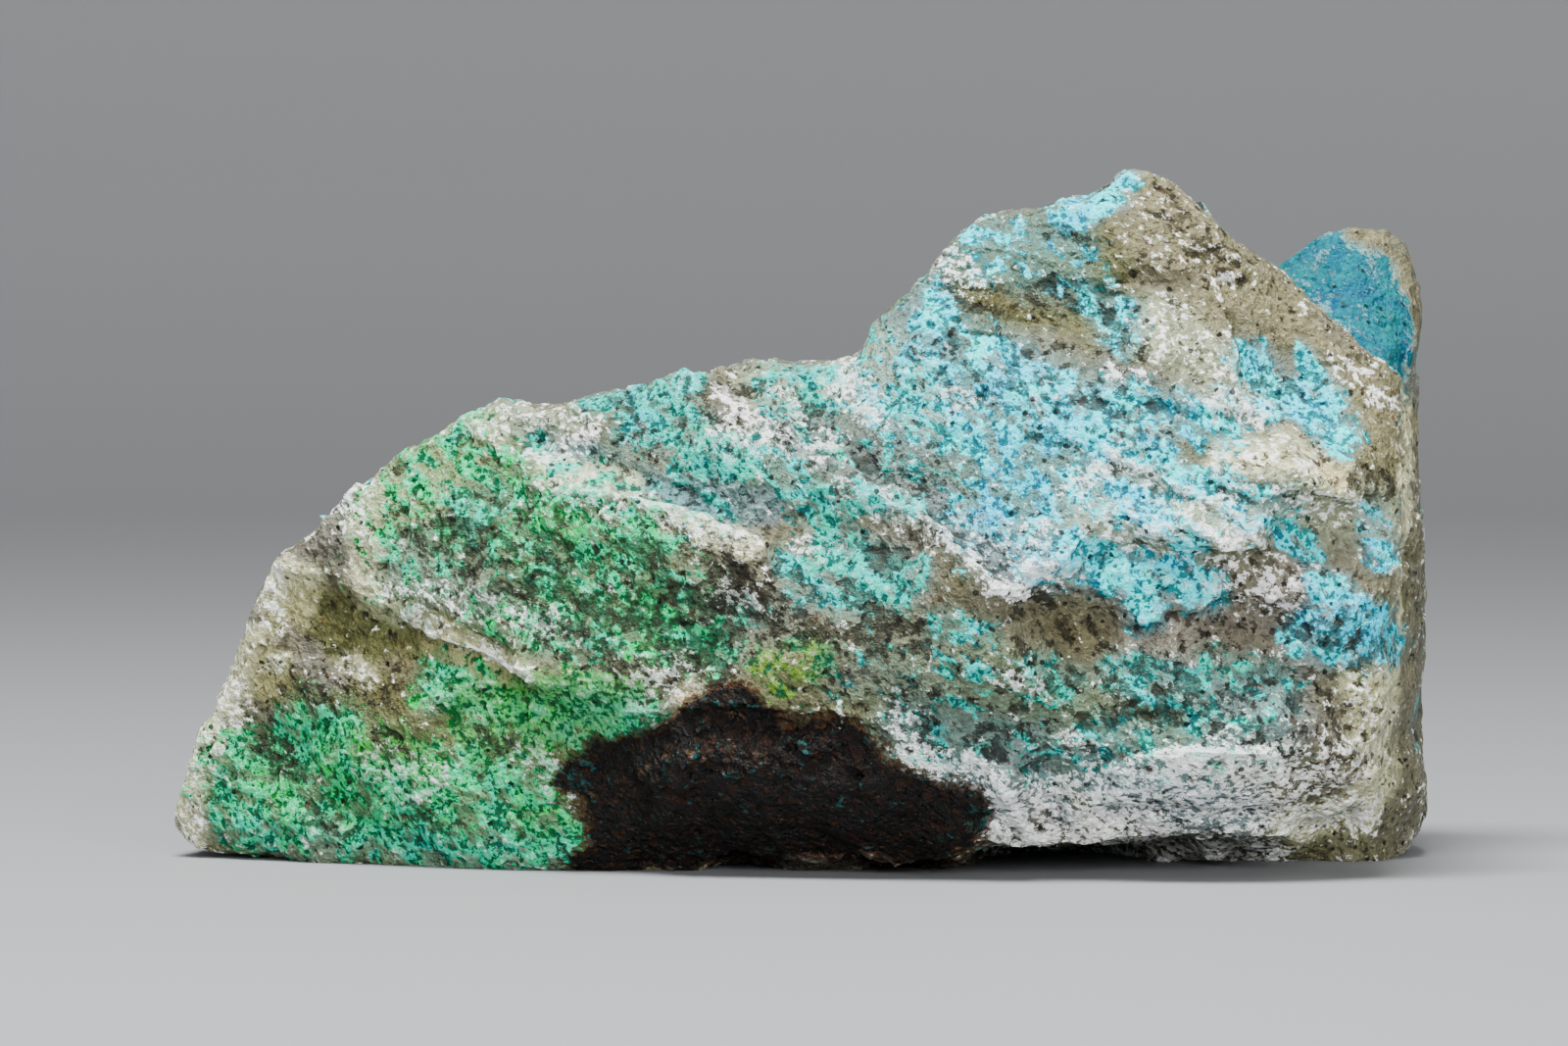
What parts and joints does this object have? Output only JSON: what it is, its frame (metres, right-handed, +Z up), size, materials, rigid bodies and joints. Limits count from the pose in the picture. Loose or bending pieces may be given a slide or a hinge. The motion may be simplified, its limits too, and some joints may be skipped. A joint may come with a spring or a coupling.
{
  "type": "cumengeite specimen",
  "caption": "Rough stone of granular quartz with turquoise-blue and emerald-green mineral crusts and a black-brown patch, resting on a flat underside.",
  "frame": {"origin": "middle of the stone's box, at the height of the flat face it rests on", "axes": "+X to the right along the widest side with the crusted front towards -Y, +Z up from the resting face"},
  "size_m": [0.0536, 0.0342, 0.029],
  "materials": {
    "quartz_with_crusts": "rough granular quartz, matt, with powdery blue and green crusts"
  },
  "bodies": {
    "root": {"specimen_stone": "quartz_with_crusts"}
  },
  "joints": []
}
